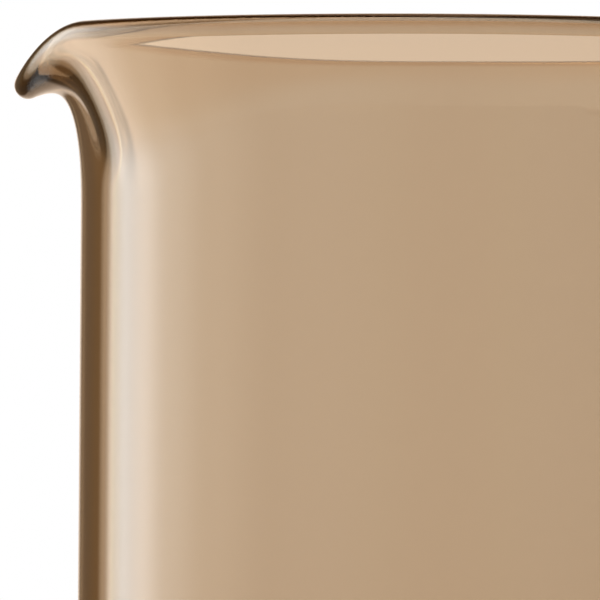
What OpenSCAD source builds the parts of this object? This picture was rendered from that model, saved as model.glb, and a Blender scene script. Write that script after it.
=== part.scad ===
// Low-form glass beaker with a flared rim and a broad pulled pouring lip.
// Millimetres, +Z up. The origin is the centre of the foot, on the surface that it stands on.
// The spout points along -X, and the X-Z plane is its plane of symmetry.
// The glass is one piece: its regions are separate solids that meet face to face.

/* [Vessel] */
// Outside diameter of the straight wall
outer_d = 90; // [60:1:140]
// Height from the foot to the crest of the rim
height = 125; // [80:1:200]
// Thickness of the glass in the wall, the rim and the spout
wall_t = 3.3; // [2:0.1:4]
// Thickness of the glass in the floor
base_t = 4; // [2.5:0.1:8]

/* [Heel] */
// Outside radius of the rounded corner between the foot and the wall
heel_r = 10; // [5:0.5:16]
// Inside radius of the same corner
heel_in_r = 7; // [3:0.5:14]

/* [Plain rim] */
// How far the edge's middle stands out past the middle of the wall
rim_reach = 1.3; // [0.8:0.1:2]
// Height over which the wall flares into the rim
rim_flare_h = 12; // [10:0.5:16]
// Length over which the wall stays nearly upright in the flare
rim_rise = 4; // [3:0.1:6]
// Length over which the edge runs out nearly straight
rim_run = 4; // [2:0.1:5]
// Lean of the edge from upright, in degrees
rim_lean = 26; // [10:1:35]

/* [Pouring lip] */
// How far the edge's middle stands out past the middle of the wall
lip_reach = 8.1; // [5:0.1:10]
// Height over which the wall flares into the lip
lip_flare_h = 21; // [19:0.5:27]
// Length over which the wall stays nearly upright in the flare
lip_rise = 7; // [5:0.1:9]
// Length over which the edge runs out nearly straight
lip_run = 9.5; // [7:0.1:11]
// Lean of the edge from upright, in degrees
lip_lean = 25; // [20:1:35]
// Angle to each side of the spout over which the lip's flare becomes that of the rim, in degrees
lip_half_angle = 90; // [60:1:90]
// How square the lip's outline is from above: 2 is an ellipse
lip_squareness = 1.9; // [1.7:0.1:2.6]

/* [Nose] */
// How far the spout's nose hangs below the level of the rim
nose_drop = 5.1; // [3:0.1:6]
// Length over which the wall stays nearly upright under the nose
nose_rise = 14.7; // [12:0.1:15]
// Length over which the edge runs out nearly straight
nose_run = 5.2; // [4:0.1:6]
// Lean of the edge from upright at the tip of the nose, in degrees
nose_lean = 114; // [90:1:118]
// Angle to each side of the spout over which the nose rises to the level of the rim, in degrees
nose_half_angle = 24; // [22:1:40]

/* [Hidden] */

$fn = 128;
// Tint of the bronze glass
glass_tint = [0.72, 0.61, 0.50, 0.6];
// Straight glass below the flare, where the rim and the spout meet the wall
collar_h = 2.5;
// Angle to each side at which the spout meets the plain rim
spout_half_angle = 90;
// Steps along the flare, round the edge of the glass and along the half turn of the spout
flare_steps = 14;
edge_steps = 8;
turn_steps = 60;

outer_r = outer_d / 2;
inner_r = outer_r - wall_t;
wall_mid_r = outer_r - wall_t / 2;
base_r = outer_r - max(heel_r, wall_t + heel_in_r);
heel_top_z = max(heel_r, base_t + heel_in_r);
flare_z = height - max(rim_flare_h, lip_flare_h) - collar_h;

// A smooth fall from 1 at no share of the way to 0 at the whole way and past it
function ease(share) = let (x = min(share, 1)) 1 - x ^ 2 * (3 - 2 * x);

// A value between two others
function between(low, high, share) = low + (high - low) * share;

// Radius of the middle of the edge: a superellipse on the spout's side, a circle on the other
function edge_radius(angle) =
    let (
        front = wall_mid_r + lip_reach,
        side = wall_mid_r + rim_reach,
        k = lip_squareness
    )
    cos(angle) <= 0 ? side :
    ((cos(angle) / front) ^ k + (abs(sin(angle)) / side) ^ k) ^ (-1 / k);

// Four control points of the middle of the glass, [radius, height], at an angle from the spout
function flare_points(angle) =
    let (
        lip = ease(abs(angle) / lip_half_angle),
        nose = ease(abs(angle) / nose_half_angle),
        rise = between(between(rim_rise, lip_rise, lip), nose_rise, nose),
        run = between(between(rim_run, lip_run, lip), nose_run, nose),
        lean = between(between(rim_lean, lip_lean, lip), nose_lean, nose),
        foot = [wall_mid_r, height - between(rim_flare_h, lip_flare_h, lip)],
        edge = [edge_radius(angle), height - wall_t / 2 - nose_drop * nose]
    )
    [
        foot,
        foot + [0, rise],
        edge - run * [sin(lean), cos(lean)],
        edge
    ];

// Place on the curve of four control points, and the direction of the curve there
function curve_at(p, u) =
    (1 - u) ^ 3 * p[0] + 3 * u * (1 - u) ^ 2 * p[1] + 3 * u ^ 2 * (1 - u) * p[2] + u ^ 3 * p[3];
function heading_at(p, u) =
    let (d = (1 - u) ^ 2 * (p[1] - p[0]) + 2 * u * (1 - u) * (p[2] - p[1]) + u ^ 2 * (p[3] - p[2]))
    d / norm(d);

// The direction a quarter turn to the outside of a heading
function outside_of(heading) = [heading[1], -heading[0]];

// Closed outline of the glass from the collar to the round edge, at an angle from the spout
function lip_section(angle) =
    let (
        p = flare_points(angle),
        end = heading_at(p, 1),
        half = wall_t / 2
    )
    [
        [outer_r, flare_z],
        for (i = [0 : flare_steps])
            let (u = i / flare_steps) curve_at(p, u) + half * outside_of(heading_at(p, u)),
        for (i = [1 : edge_steps - 1])
            let (turn = 90 - 180 * i / edge_steps) p[3] + half * (cos(turn) * end + sin(turn) * outside_of(end)),
        for (i = [flare_steps : -1 : 0])
            let (u = i / flare_steps) curve_at(p, u) - half * outside_of(heading_at(p, u)),
        [inner_r, flare_z]
    ];

// Half outline of a tumbler with a rounded corner, from its floor up to the top of the heel
module tumbler_outline(radius, corner, floor_z) {
    translate([radius - corner, floor_z + corner]) circle(corner);
    translate([0, floor_z + corner]) square([radius, heel_top_z]);
    translate([0, floor_z]) square([radius - corner, heel_top_z]);
}

module base() {
    color(glass_tint) cylinder(r = base_r, h = base_t);
}

module heel() {
    color(glass_tint) rotate_extrude()
        intersection() {
            translate([base_r, 0]) square([outer_r, heel_top_z]);
            difference() {
                tumbler_outline(outer_r, heel_r, 0);
                tumbler_outline(inner_r, heel_in_r, base_t);
            }
        }
}

module wall() {
    color(glass_tint) translate([0, 0, heel_top_z])
        rotate_extrude() translate([inner_r, 0]) square([wall_t, flare_z - heel_top_z]);
}

module rim() {
    rim_angle = 360 - 2 * spout_half_angle;
    color(glass_tint) rotate([0, 0, -rim_angle / 2]) rotate_extrude(angle = rim_angle) polygon(lip_section(180));
}

module spout() {
    sections = [
        for (i = [0 : turn_steps])
            let (angle = spout_half_angle * (2 * i / turn_steps - 1))
                [for (q = lip_section(angle)) [-q[0] * cos(angle), -q[0] * sin(angle), q[1]]]
    ];
    count = len(sections[0]);
    skin = [
        for (i = [0 : turn_steps - 1], j = [0 : count - 1])
            let (
                a = i * count + j,
                b = i * count + (j + 1) % count
            )
            each [[a, b, b + count], [a, b + count, a + count]]
    ];
    first_end = [for (j = [count - 1 : -1 : 0]) j];
    last_end = [for (j = [0 : count - 1]) turn_steps * count + j];
    color(glass_tint)
        polyhedron([for (s = sections) each s], concat(skin, [first_end, last_end]), convexity = 6);
}

base();
heel();
wall();
rim();
spout();
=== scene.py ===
"""Looks of a low-form beaker of bronze glass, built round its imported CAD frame."""

import math
from functools import partial

import bmesh
import bpy
from bpy.props import FloatProperty, FloatVectorProperty, PointerProperty
from mathutils import Matrix, Vector


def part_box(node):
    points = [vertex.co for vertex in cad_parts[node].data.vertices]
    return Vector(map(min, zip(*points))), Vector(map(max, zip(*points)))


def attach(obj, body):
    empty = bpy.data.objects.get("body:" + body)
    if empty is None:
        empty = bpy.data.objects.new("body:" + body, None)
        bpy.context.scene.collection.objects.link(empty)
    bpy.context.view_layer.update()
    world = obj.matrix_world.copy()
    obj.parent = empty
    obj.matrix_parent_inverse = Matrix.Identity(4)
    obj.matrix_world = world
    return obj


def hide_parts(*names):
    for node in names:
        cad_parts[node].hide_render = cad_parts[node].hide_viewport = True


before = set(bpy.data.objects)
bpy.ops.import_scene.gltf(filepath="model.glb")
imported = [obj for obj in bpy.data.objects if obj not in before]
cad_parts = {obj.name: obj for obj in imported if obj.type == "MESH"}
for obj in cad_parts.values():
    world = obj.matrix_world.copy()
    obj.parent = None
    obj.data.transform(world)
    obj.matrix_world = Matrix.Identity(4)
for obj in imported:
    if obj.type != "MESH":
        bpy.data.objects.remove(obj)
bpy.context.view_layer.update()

bl_info = {
    "name": "Bronze glass beaker",
    "version": (1, 0, 0),
    "blender": (4, 5, 0),
    "location": "View3D > Sidebar > Beaker",
    "description": "Makes a beaker of bronze glass with a pouring lip, and a white studio round it",
    "category": "Add Mesh",
}

MM = 0.001
PHOTO_PIXELS = 600

MATH = "ShaderNodeMath"
VECTOR = "ShaderNodeVectorMath"
MIX = "ShaderNodeMix"
RANGE = "ShaderNodeMapRange"
COMBINE = "ShaderNodeCombineXYZ"
SEPARATE = "ShaderNodeSeparateXYZ"

# Steps of the vessel's outline, from the middle of the foot up the outside and down the inside to the floor.
STRETCHES = {
    "foot": 8,
    "heel": 16,
    "wall": 28,
    "flare": 28,
    "edge": 18,
    "flare inside": 28,
    "wall inside": 28,
    "heel inside": 14,
    "floor": 8,
}
TURN_STEPS = 288
# Points of the outline's ends and seam that lie closer than this become one.
WELD = 0.001 * MM
# Blown glass is drawn out along the axis, so its waves are longer that way.
WAVE_DIRECTIONS = (1.0, 1.0, 0.3)

SENSOR_WIDTH = 36
CAMERA_CLIP = 10 * MM

FLOOR_RADIUS = 230 * MM
FLOOR_SIDES = 96
FLOOR_GAP = 0.2 * MM
FLOOR_FADE_START = 60 * MM
FLOOR_FADE_END = 220 * MM

# What the glass sees at each bearing from straight behind it, in degrees to the left: colour and level.
SURROUND = (
    (-180, "#ffeed8", 1.1),
    (-90, "#ffeed8", 1.1),
    (-40, "#fff0df", 0.9),
    (-28, "#896f55", 1.0),
    (-17, "#896f55", 1.0),
    (-10, "#ffe9d4", 1.0),
    (10, "#ffe9d4", 1.0),
    (17, "#896f55", 1.0),
    (26, "#896f55", 1.0),
    (40, "#c79a68", 0.7),
    (46, "#ffdfb8", 1.7),
    (53, "#fff3e2", 4.4),
    (61, "#fff8ef", 6.4),
    (70, "#fff8ef", 6.2),
    (84, "#fff3e2", 4.4),
    (101, "#ffeed8", 3.2),
    (125, "#ffeed8", 1.9),
    (180, "#ffeed8", 1.1),
)
BRIGHTEST = 7.0
# The most of that which comes through the glass; the rest is only mirrored in its skin.
THROUGH_GLASS = 1.2
# Tints of the same surround high overhead and towards the floor: colour, and the sine of the elevation
# where the tint begins and where it is full.
OVERHEAD = ("#ffd6ad", 0.3, 0.7)
UNDERFOOT = ("#efe1d2", -0.05, -0.4)


def linear(hex_colour):
    """Linear RGB of an sRGB hex colour."""
    parts = [int(hex_colour[i:i + 2], 16) / 255 for i in (1, 3, 5)]
    return tuple(p / 12.92 if p <= 0.04045 else ((p + 0.055) / 1.055) ** 2.4 for p in parts)


def add(tree, kind, inputs=None, out=0, **settings):
    """Adds a node with its settings, sets or links its inputs, and returns one output, or all for None."""
    node = tree.nodes.new(kind)
    for name, value in settings.items():
        setattr(node, name, value)
    for key, value in (inputs or {}).items():
        if isinstance(value, bpy.types.NodeSocket):
            tree.links.new(value, node.inputs[key])
        else:
            node.inputs[key].default_value = value
    return node.outputs if out is None else node.outputs[out]


def node_radii(name):
    """Least and greatest distance of a CAD node's points from the axis."""
    radii = [math.hypot(v.co.x, v.co.y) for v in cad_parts[name].data.vertices]
    return min(radii), max(radii)


WALL_INSIDE, WALL_OUTSIDE = node_radii("wall")
FLOOR_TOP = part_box("base")[1].z
RIM_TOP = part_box("rim")[1].z
RIM_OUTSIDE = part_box("rim")[1].x
SPOUT_OUTSIDE = -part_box("spout")[0].x
WALL = WALL_OUTSIDE - WALL_INSIDE


def length(label, words, default):
    """A size in metres for a property group."""
    return FloatProperty(name=label, description=words, default=default, precision=5,
                         subtype="DISTANCE", unit="LENGTH")


def angle(label, words, degrees):
    """An angle for a property group."""
    return FloatProperty(name=label, description=words, default=math.radians(degrees),
                         subtype="ANGLE", unit="ROTATION")


class VesselSizes(bpy.types.PropertyGroup):
    """Sizes of the glass, taken from the CAD frame where it shows them."""

    outer_radius: length("Outer radius", "Outside radius of the straight wall", WALL_OUTSIDE)
    height: length("Height", "Height of the rim's crest above the foot", RIM_TOP)
    wall: length("Wall", "Thickness of the glass in wall, rim and spout", WALL)
    floor: length("Floor", "Thickness of the glass in the floor", FLOOR_TOP)
    heel: length("Heel", "Outside radius of the corner between foot and wall", 10 * MM)
    heel_inside: length("Heel inside", "Inside radius of the same corner", 7 * MM)
    rim_reach: length("Rim reach", "How far the rim's edge stands out past the middle of the wall",
                      RIM_OUTSIDE - WALL_OUTSIDE)
    rim_flare: length("Rim flare", "Height over which the wall flares into the rim", 12 * MM)
    rim_rise: length("Rim rise", "Length over which the wall stays upright in the rim's flare", 4 * MM)
    rim_run: length("Rim run", "Length over which the rim's edge runs out straight", 4 * MM)
    rim_lean: angle("Rim lean", "Lean of the rim's edge from upright", 26)
    lip_reach: length("Lip reach", "How far the spout's edge stands out past the middle of the wall",
                      SPOUT_OUTSIDE - WALL_OUTSIDE)
    lip_flare: length("Lip flare", "Height over which the wall flares into the lip", 21 * MM)
    lip_rise: length("Lip rise", "Length over which the wall stays upright in the lip's flare", 7 * MM)
    lip_run: length("Lip run", "Length over which the lip's edge runs out straight", 9.5 * MM)
    lip_lean: angle("Lip lean", "Lean of the lip's edge from upright", 25)
    lip_half_angle: angle("Lip half angle", "Angle from the spout at which the lip has become the rim", 90)
    lip_squareness: FloatProperty(name="Lip squareness", description="2 makes the lip's outline an ellipse",
                                  default=1.9, min=1.7, max=2.6)
    nose_drop: length("Nose drop", "How far the spout's nose hangs below the rim", 5.1 * MM)
    nose_rise: length("Nose rise", "Length over which the wall stays upright under the nose", 14.7 * MM)
    nose_run: length("Nose run", "Length over which the nose's edge runs out straight", 5.2 * MM)
    nose_lean: angle("Nose lean", "Lean of the nose's edge from upright", 114)
    nose_half_angle: angle("Nose half angle", "Angle from the spout at which the nose ends", 24)


class BronzeGlass(bpy.types.PropertyGroup):
    """Finish of the glass."""

    tint: FloatVectorProperty(name="Tint", description="What the body of the glass leaves of white light",
                              subtype="COLOR", default=linear("#c0ad88"), min=0, max=1)
    density: FloatProperty(name="Density", description="Absorption of the tint for each metre of glass",
                           default=250)
    ior: FloatProperty(name="Index of refraction", description="Soda-lime glass is about 1.5", default=1.5)
    roughness: FloatProperty(name="Roughness", description="Fire-polished glass is almost a mirror",
                             subtype="FACTOR", default=0.0, min=0, max=1)
    wave_length: length("Wave length", "Breadth of the faint waves that blowing leaves in the skin", 20 * MM)
    wave_height: length("Wave height", "Height of those waves", 0.01 * MM)


class Studio(bpy.types.PropertyGroup):
    """Camera and light of the white studio."""

    camera_distance: length("Camera distance", "Distance of the camera in front of the axis", 400 * MM)
    camera_elevation: angle("Camera elevation", "Elevation of the camera, seen from the rim's middle", -2.95)
    camera_turn: angle("Camera turn", "Turn of the camera round the axis, from square to the spout", -5.5)
    camera_roll: angle("Camera roll", "Turn of the camera about its own axis", 0.55)
    view_width: length("View width", "Width of the picture at the beaker's axis", 72.97 * MM)
    axis_pixel: FloatProperty(name="Axis pixel", description="Column of the photograph where the axis lies",
                              default=451)
    crest_pixel: FloatProperty(name="Crest pixel", description="Row of the photograph of the rim's middle",
                               default=34.1)


def vessel_tree(sizes, glass):
    """Geometry Nodes that lay a grid of turn and outline round the axis as the vessel's skin."""
    tree = bpy.data.node_groups.new("vessel", "GeometryNodeTree")
    put = partial(add, tree)
    for prop in sizes.bl_rna.properties:
        if prop.type == "FLOAT":
            tree.interface.new_socket(prop.name, in_out="INPUT", socket_type="NodeSocketFloat")
    tree.interface.new_socket("Geometry", in_out="OUTPUT", socket_type="NodeSocketGeometry")
    size = put("NodeGroupInput", out=None)

    total = sum(STRETCHES.values())
    sheet = put("GeometryNodeMeshGrid",
                {"Size X": math.tau, "Size Y": total, "Vertices X": TURN_STEPS + 1, "Vertices Y": total + 1})
    place = put(SEPARATE, {0: put("GeometryNodeInputPosition")}, out=None)
    turn = place[0]
    step = put(MATH, {0: place[1], 1: total / 2}, operation="ADD")
    share = {}
    start = 0
    for name, count in STRETCHES.items():
        share[name] = put(RANGE, {0: step, 1: start, 2: start + count})
        start += count

    # Shares of the pulled lip and of the drooping nose at this turn from the spout.
    away = put(MATH, {0: turn}, operation="ABSOLUTE")
    lip, nose = [put(RANGE, {0: away, 1: 0.0, 2: size[word + " half angle"], 3: 1.0, 4: 0.0},
                     interpolation_type="SMOOTHSTEP")
                 for word in ("Lip", "Nose")]
    flare, *sides = [put(MIX, {0: lip, 2: size["Rim " + word], 3: size["Lip " + word]})
                     for word in ("flare", "rise", "run", "lean")]
    rise, run, lean = [put(MIX, {0: nose, 2: side, 3: size["Nose " + word]})
                       for side, word in zip(sides, ("rise", "run", "lean"))]

    # Radius of the edge: a superellipse on the spout's side, a circle on the other.
    half = put(MATH, {0: size["Wall"], 1: 0.5}, operation="MULTIPLY")
    middle_radius = put(MATH, {0: size["Outer radius"], 1: half}, operation="SUBTRACT")
    cosine = put(MATH, {0: turn}, operation="COSINE")
    sine = put(MATH, {0: turn}, operation="SINE")
    ahead = put(MATH, {0: cosine, 1: 0.0}, operation="MAXIMUM")
    ahead_square = put(MATH, {0: ahead, 1: ahead}, operation="MULTIPLY")
    aside = put(MATH, {0: put(MATH, {0: 1.0, 1: ahead_square}, operation="SUBTRACT")}, operation="SQRT")
    powers = []
    for part, word in ((ahead, "Lip reach"), (aside, "Rim reach")):
        radius = put(MATH, {0: middle_radius, 1: size[word]}, operation="ADD")
        ratio = put(MATH, {0: part, 1: radius}, operation="DIVIDE")
        powers.append(put(MATH, {0: ratio, 1: size["Lip squareness"]}, operation="POWER"))
    both = put(MATH, {0: powers[0], 1: powers[1]}, operation="ADD")
    back = put(MATH, {0: -1.0, 1: size["Lip squareness"]}, operation="DIVIDE")
    edge_radius = put(MATH, {0: both, 1: back}, operation="POWER")

    # The middle of the glass in the flare: a curve of four points, from the wall to the round edge.
    flare_z = put(MATH, {0: size["Height"], 1: flare}, operation="SUBTRACT")
    rise_z = put(MATH, {0: flare_z, 1: rise}, operation="ADD")
    crest = put(MATH, {0: size["Height"], 1: half}, operation="SUBTRACT")
    drop = put(MATH, {0: size["Nose drop"], 1: nose}, operation="MULTIPLY")
    edge_z = put(MATH, {0: crest, 1: drop}, operation="SUBTRACT")
    edge = put(COMBINE, {0: edge_radius, 2: edge_z})
    lean_sine = put(MATH, {0: lean}, operation="SINE")
    lean_cosine = put(MATH, {0: lean}, operation="COSINE")
    run_out = put(VECTOR, {0: put(COMBINE, {0: lean_sine, 2: lean_cosine}), 3: run}, operation="SCALE")
    points = [
        put(COMBINE, {0: middle_radius, 2: flare_z}),
        put(COMBINE, {0: middle_radius, 2: rise_z}),
        put(VECTOR, {0: edge, 1: run_out}, operation="SUBTRACT"),
        edge,
    ]
    along = put(MATH, {0: share["flare"], 1: share["flare inside"]}, operation="SUBTRACT")
    while len(points) > 1:
        pair = points
        points = [put(MIX, {0: along, 4: first, 5: second}, out=1, data_type="VECTOR")
                  for first, second in zip(pair, pair[1:])]
    chord = put(VECTOR, {0: pair[1], 1: pair[0]}, operation="SUBTRACT")
    heading = put(VECTOR, {0: chord}, operation="NORMALIZE")
    outward = put(VECTOR, {0: (0, 1, 0), 1: heading}, operation="CROSS_PRODUCT")

    # The skin stands half a wall off the middle, and turns round the edge from the outside to the inside.
    round_turn = put(RANGE, {0: share["edge"], 3: math.pi / 2, 4: -math.pi / 2})
    onward = put(VECTOR, {0: heading, 3: put(MATH, {0: round_turn}, operation="COSINE")}, operation="SCALE")
    sideways = put(VECTOR, {0: outward, 3: put(MATH, {0: round_turn}, operation="SINE")}, operation="SCALE")
    offset = put(VECTOR, {0: put(VECTOR, {0: onward, 1: sideways}), 3: half}, operation="SCALE")
    skin = put(VECTOR, {0: points[0], 1: offset})
    flare_foot = put(COMBINE, {0: size["Outer radius"], 2: flare_z})
    outline = put(VECTOR, {0: skin, 1: flare_foot}, operation="SUBTRACT")

    # Outside and inside below the flare: each is a flat, a quarter round and a straight wall.
    inner_radius = put(MATH, {0: size["Outer radius"], 1: size["Wall"]}, operation="SUBTRACT")
    below = (
        (size["Outer radius"], size["Heel"], 0.0, 1.0,
         "foot", "heel", "wall", False),
        (inner_radius, size["Heel inside"], size["Floor"], -1.0,
         "floor", "heel inside", "wall inside", True),
    )
    for radius, corner, level, sign, flat_name, corner_name, wall_name, downward in below:
        flat = put(MATH, {0: radius, 1: corner}, operation="SUBTRACT")
        flat_part = put(MATH, {0: flat, 1: share[flat_name]}, operation="MULTIPLY")
        corner_turn = put(MATH, {0: share[corner_name], 1: math.pi / 2}, operation="MULTIPLY")
        corner_sine, corner_cosine = [
            put(MATH, {0: put(MATH, {0: corner_turn}, operation=kind), 1: corner}, operation="MULTIPLY")
            for kind in ("SINE", "COSINE")
        ]
        corner_rest = put(MATH, {0: corner, 1: corner_cosine}, operation="SUBTRACT")
        across, up = (corner_rest, corner_sine) if downward else (corner_sine, corner_rest)
        wall_foot = put(MATH, {0: level, 1: corner}, operation="ADD")
        straight = put(MATH, {0: flare_z, 1: wall_foot}, operation="SUBTRACT")
        straight_part = put(MATH, {0: straight, 1: share[wall_name]}, operation="MULTIPLY")
        lower = put(COMBINE, {0: put(MATH, {0: flat_part, 1: across}, operation="ADD"),
                              2: put(MATH, {0: straight_part, 1: up}, operation="ADD")})
        outline = put(VECTOR, {0: outline, 1: put(VECTOR, {0: lower, 3: sign}, operation="SCALE")})

    # The spout points along -X, so the turn is counted from there.
    ends = put(SEPARATE, {0: outline}, out=None)
    backward = put(MATH, {0: ends[0], 1: -1.0}, operation="MULTIPLY")
    x = put(MATH, {0: backward, 1: cosine}, operation="MULTIPLY")
    y = put(MATH, {0: backward, 1: sine}, operation="MULTIPLY")
    position = put(COMBINE, {0: x, 1: y, 2: ends[2]})
    laid = put("GeometryNodeSetPosition", {"Geometry": sheet, "Position": position})
    closed = put("GeometryNodeMergeByDistance", {"Geometry": laid, "Distance": WELD})
    smooth = put("GeometryNodeSetShadeSmooth", {"Geometry": closed})
    real = put("GeometryNodeRealizeInstances", {"Geometry": smooth})
    glazed = put("GeometryNodeSetMaterial", {"Geometry": real, "Material": glass})
    put("NodeGroupOutput", {0: glazed}, out=None)
    return tree


def bronze_glass(finish):
    """Clear soda-lime glass with a bronze tint through its whole thickness, blown and fire-polished.

    The eye gets a mirror-smooth skin, a pale tan where one wall is crossed, and dark brown edges where the
    light runs a long way inside the glass.
    """
    material = bpy.data.materials.new("bronze_glass")
    material.use_nodes = True
    tree = material.node_tree
    tree.nodes.clear()
    put = partial(add, tree)
    place = put("ShaderNodeTexCoord", out=3)
    drawn_out = put(VECTOR, {0: place, 1: WAVE_DIRECTIONS}, operation="MULTIPLY")
    waves = put("ShaderNodeTexNoise", {"Vector": drawn_out, "Scale": 1 / finish.wave_length, "Detail": 1.0})
    wavy = put("ShaderNodeBump", {"Height": waves, "Distance": finish.wave_height})
    surface = put("ShaderNodeBsdfPrincipled", {
        "Base Color": (1, 1, 1, 1),
        "Normal": wavy,
        "Roughness": finish.roughness,
        "IOR": finish.ior,
        "Transmission Weight": 1.0,
    })
    body = put("ShaderNodeVolumeAbsorption", {"Color": (*finish.tint, 1), "Density": finish.density})
    put("ShaderNodeOutputMaterial", {"Surface": surface, "Volume": body}, out=None)
    return material


class BEAKER_OT_vessel(bpy.types.Operator):
    """Makes the whole glass of the beaker as one closed skin"""

    bl_idname = "beaker.vessel"
    bl_label = "Glass vessel"

    def execute(self, context):
        sizes = context.scene.beaker_sizes
        glass = bronze_glass(context.scene.beaker_glass)
        tree = vessel_tree(sizes, glass)
        maker = bpy.data.objects.new("vessel_maker", bpy.data.meshes.new("vessel_maker"))
        context.scene.collection.objects.link(maker)
        modifier = maker.modifiers.new("vessel", "NODES")
        modifier.node_group = tree
        values = {prop.name: getattr(sizes, prop.identifier)
                  for prop in sizes.bl_rna.properties if prop.type == "FLOAT"}
        for item in tree.interface.items_tree:
            if item.in_out == "INPUT":
                modifier[item.identifier] = values[item.name]
        maker.update_tag()
        evaluated = maker.evaluated_get(context.evaluated_depsgraph_get())
        mesh = bpy.data.meshes.new_from_object(evaluated)
        maker.modifiers.remove(modifier)
        bpy.data.objects.remove(maker)
        if not mesh.polygons:
            raise RuntimeError("the vessel's nodes gave no faces")
        mesh.name = "glass_vessel"
        vessel = bpy.data.objects.new("glass_vessel", mesh)
        context.scene.collection.objects.link(vessel)
        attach(vessel, "root")
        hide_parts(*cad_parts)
        return {"FINISHED"}


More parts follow.
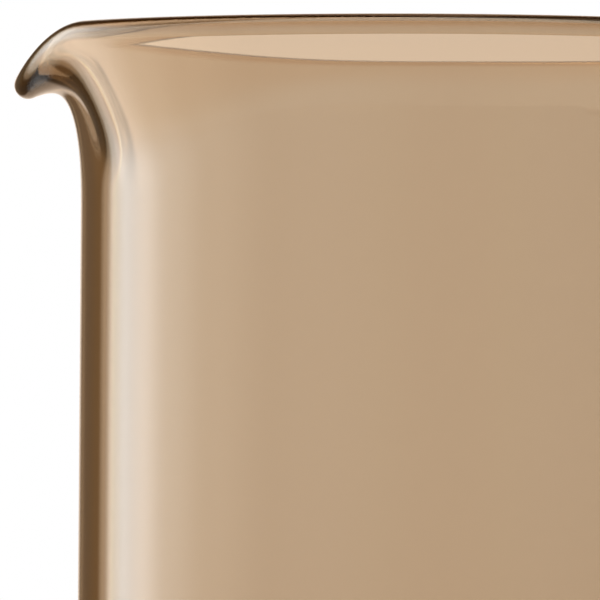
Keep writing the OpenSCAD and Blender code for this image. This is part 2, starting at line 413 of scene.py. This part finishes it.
class BEAKER_OT_stage(bpy.types.Operator):
    """Makes the camera, the floor and the light of the white studio"""

    bl_idname = "beaker.stage"
    bl_label = "White studio"

    def execute(self, context):
        scene = context.scene
        studio = scene.beaker_studio
        scene.view_settings.view_transform = "Standard"
        self.make_camera(scene, studio)
        self.make_floor(scene)
        self.make_world(scene)
        return {"FINISHED"}

    def make_camera(self, scene, studio):
        """A long lens aimed so that the beaker lies in the picture as in the photograph."""
        pixel = studio.view_width / PHOTO_PIXELS
        centre = PHOTO_PIXELS / 2
        across = (centre - studio.axis_pixel) * pixel
        down = (centre - studio.crest_pixel) * pixel
        aim = Vector((across, 0, RIM_TOP - down))
        rise = studio.camera_distance * math.tan(studio.camera_elevation)
        eye = Vector((aim.x, -studio.camera_distance, RIM_TOP + rise))
        camera = bpy.data.cameras.new("camera")
        camera.sensor_width = SENSOR_WIDTH
        camera.lens = camera.sensor_width * (aim - eye).length / studio.view_width
        camera.clip_start = CAMERA_CLIP
        holder = bpy.data.objects.new("camera", camera)
        scene.collection.objects.link(holder)
        aimed = (aim - eye).to_track_quat("-Z", "Y").to_matrix().to_4x4()
        rolled = Matrix.Rotation(studio.camera_roll, 4, "Z")
        round_axis = Matrix.Rotation(studio.camera_turn, 4, "Z")
        holder.matrix_world = round_axis @ Matrix.Translation(eye) @ aimed @ rolled
        scene.camera = holder

    def make_floor(self, scene):
        """A disc lit to white by the surround, but for the beaker's soft shadow; it fades out far off."""
        round_floor = bmesh.new()
        bmesh.ops.create_circle(round_floor, cap_ends=True, segments=FLOOR_SIDES, radius=FLOOR_RADIUS)
        mesh = bpy.data.meshes.new("floor")
        round_floor.to_mesh(mesh)
        round_floor.free()
        floor = bpy.data.objects.new("floor", mesh)
        floor.location.z = -FLOOR_GAP
        scene.collection.objects.link(floor)
        white = bpy.data.materials.new("floor_white")
        white.use_nodes = True
        white.node_tree.nodes.clear()
        put = partial(add, white.node_tree)
        far_off = put(VECTOR, {0: put("ShaderNodeTexCoord", out=3)}, out=1, operation="LENGTH")
        fading = put(RANGE, {0: far_off, 1: FLOOR_FADE_START, 2: FLOOR_FADE_END},
                     interpolation_type="SMOOTHSTEP")
        paper = put("ShaderNodeBsdfDiffuse", {"Color": (1, 1, 1, 1)})
        faded = put("ShaderNodeMixShader", {0: fading, 1: paper, 2: put("ShaderNodeBsdfTransparent")})
        put("ShaderNodeOutputMaterial", {"Surface": faded}, out=None)
        mesh.materials.append(white)

    def make_world(self, scene):
        """White all round for the camera; the glass sees a lit wall behind it, dark flags and a soft box."""
        world = bpy.data.worlds.new("studio")
        scene.world = world
        world.use_nodes = True
        tree = world.node_tree
        tree.nodes.clear()
        put = partial(add, tree)
        place = put("ShaderNodeTexCoord")
        direction = put(SEPARATE, {0: place}, out=None)
        left = put(MATH, {0: direction[0], 1: -1.0}, operation="MULTIPLY")
        world_bearing = put(MATH, {0: left, 1: direction[1]}, operation="ARCTAN2")
        bearing = put(MATH, {0: world_bearing, 1: scene.beaker_studio.camera_turn}, operation="SUBTRACT")
        around = put(RANGE, {0: bearing, 1: -math.pi, 2: math.pi})
        ramp = tree.nodes.new("ShaderNodeValToRGB")
        ramp.color_ramp.interpolation = "EASE"
        stops = ramp.color_ramp.elements
        for i, (degrees, colour, level) in enumerate(SURROUND):
            stop = stops[i] if i < 2 else stops.new(1.0)
            stop.position = 0.5 + degrees / 360
            stop.color = (*[level * part / BRIGHTEST for part in linear(colour)], 1)
        tree.links.new(around, ramp.inputs[0])
        # Only rays that the glass mirrors or lets through see the surround.
        path = put("ShaderNodeLightPath", out=None)
        by_glass = put(MATH, {0: path["Is Glossy Ray"], 1: path["Is Transmission Ray"]}, operation="MAXIMUM")
        unseen = put(MATH, {0: 1.0, 1: path["Is Camera Ray"]}, operation="SUBTRACT")
        in_glass = put(MATH, {0: by_glass, 1: unseen}, operation="MULTIPLY")
        most = THROUGH_GLASS / BRIGHTEST
        lit = put(MIX, {0: path["Is Transmission Ray"], 6: ramp.outputs[0], 7: (most, most, most, 1)}, out=2,
                  data_type="RGBA", blend_type="DARKEN")
        for tint, start, full in (OVERHEAD, UNDERFOOT):
            share = put(RANGE, {0: direction[2], 1: start, 2: full}, interpolation_type="SMOOTHSTEP")
            lit = put(MIX, {0: share, 6: lit, 7: (*linear(tint), 1)}, out=2, data_type="RGBA",
                      blend_type="MULTIPLY")
        colour = put(MIX, {0: in_glass, 6: (1, 1, 1, 1), 7: lit}, out=2, data_type="RGBA")
        strength = put(MIX, {0: in_glass, 2: 1.0, 3: BRIGHTEST})
        background = put("ShaderNodeBackground", {"Color": colour, "Strength": strength})
        put("ShaderNodeOutputWorld", {"Surface": background}, out=None)


class BEAKER_PT_panel(bpy.types.Panel):
    """Lists the sizes, the finish and the makers of the beaker"""

    bl_idname = "BEAKER_PT_panel"
    bl_label = "Beaker"
    bl_space_type = "VIEW_3D"
    bl_region_type = "UI"
    bl_category = "Beaker"

    def draw(self, context):
        for group in (context.scene.beaker_sizes, context.scene.beaker_glass, context.scene.beaker_studio):
            column = self.layout.column()
            for prop in group.bl_rna.properties:
                if prop.type == "FLOAT":
                    column.prop(group, prop.identifier)
        self.layout.operator(BEAKER_OT_vessel.bl_idname)
        self.layout.operator(BEAKER_OT_stage.bl_idname)


CLASSES = (VesselSizes, BronzeGlass, Studio, BEAKER_OT_vessel, BEAKER_OT_stage, BEAKER_PT_panel)


def register():
    for cls in CLASSES:
        bpy.utils.register_class(cls)
    bpy.types.Scene.beaker_sizes = PointerProperty(type=VesselSizes)
    bpy.types.Scene.beaker_glass = PointerProperty(type=BronzeGlass)
    bpy.types.Scene.beaker_studio = PointerProperty(type=Studio)


def unregister():
    del bpy.types.Scene.beaker_studio
    del bpy.types.Scene.beaker_glass
    del bpy.types.Scene.beaker_sizes
    for cls in reversed(CLASSES):
        bpy.utils.unregister_class(cls)


def main():
    register()
    bpy.ops.beaker.vessel()
    bpy.ops.beaker.stage()


if __name__ == "__main__":
    main()
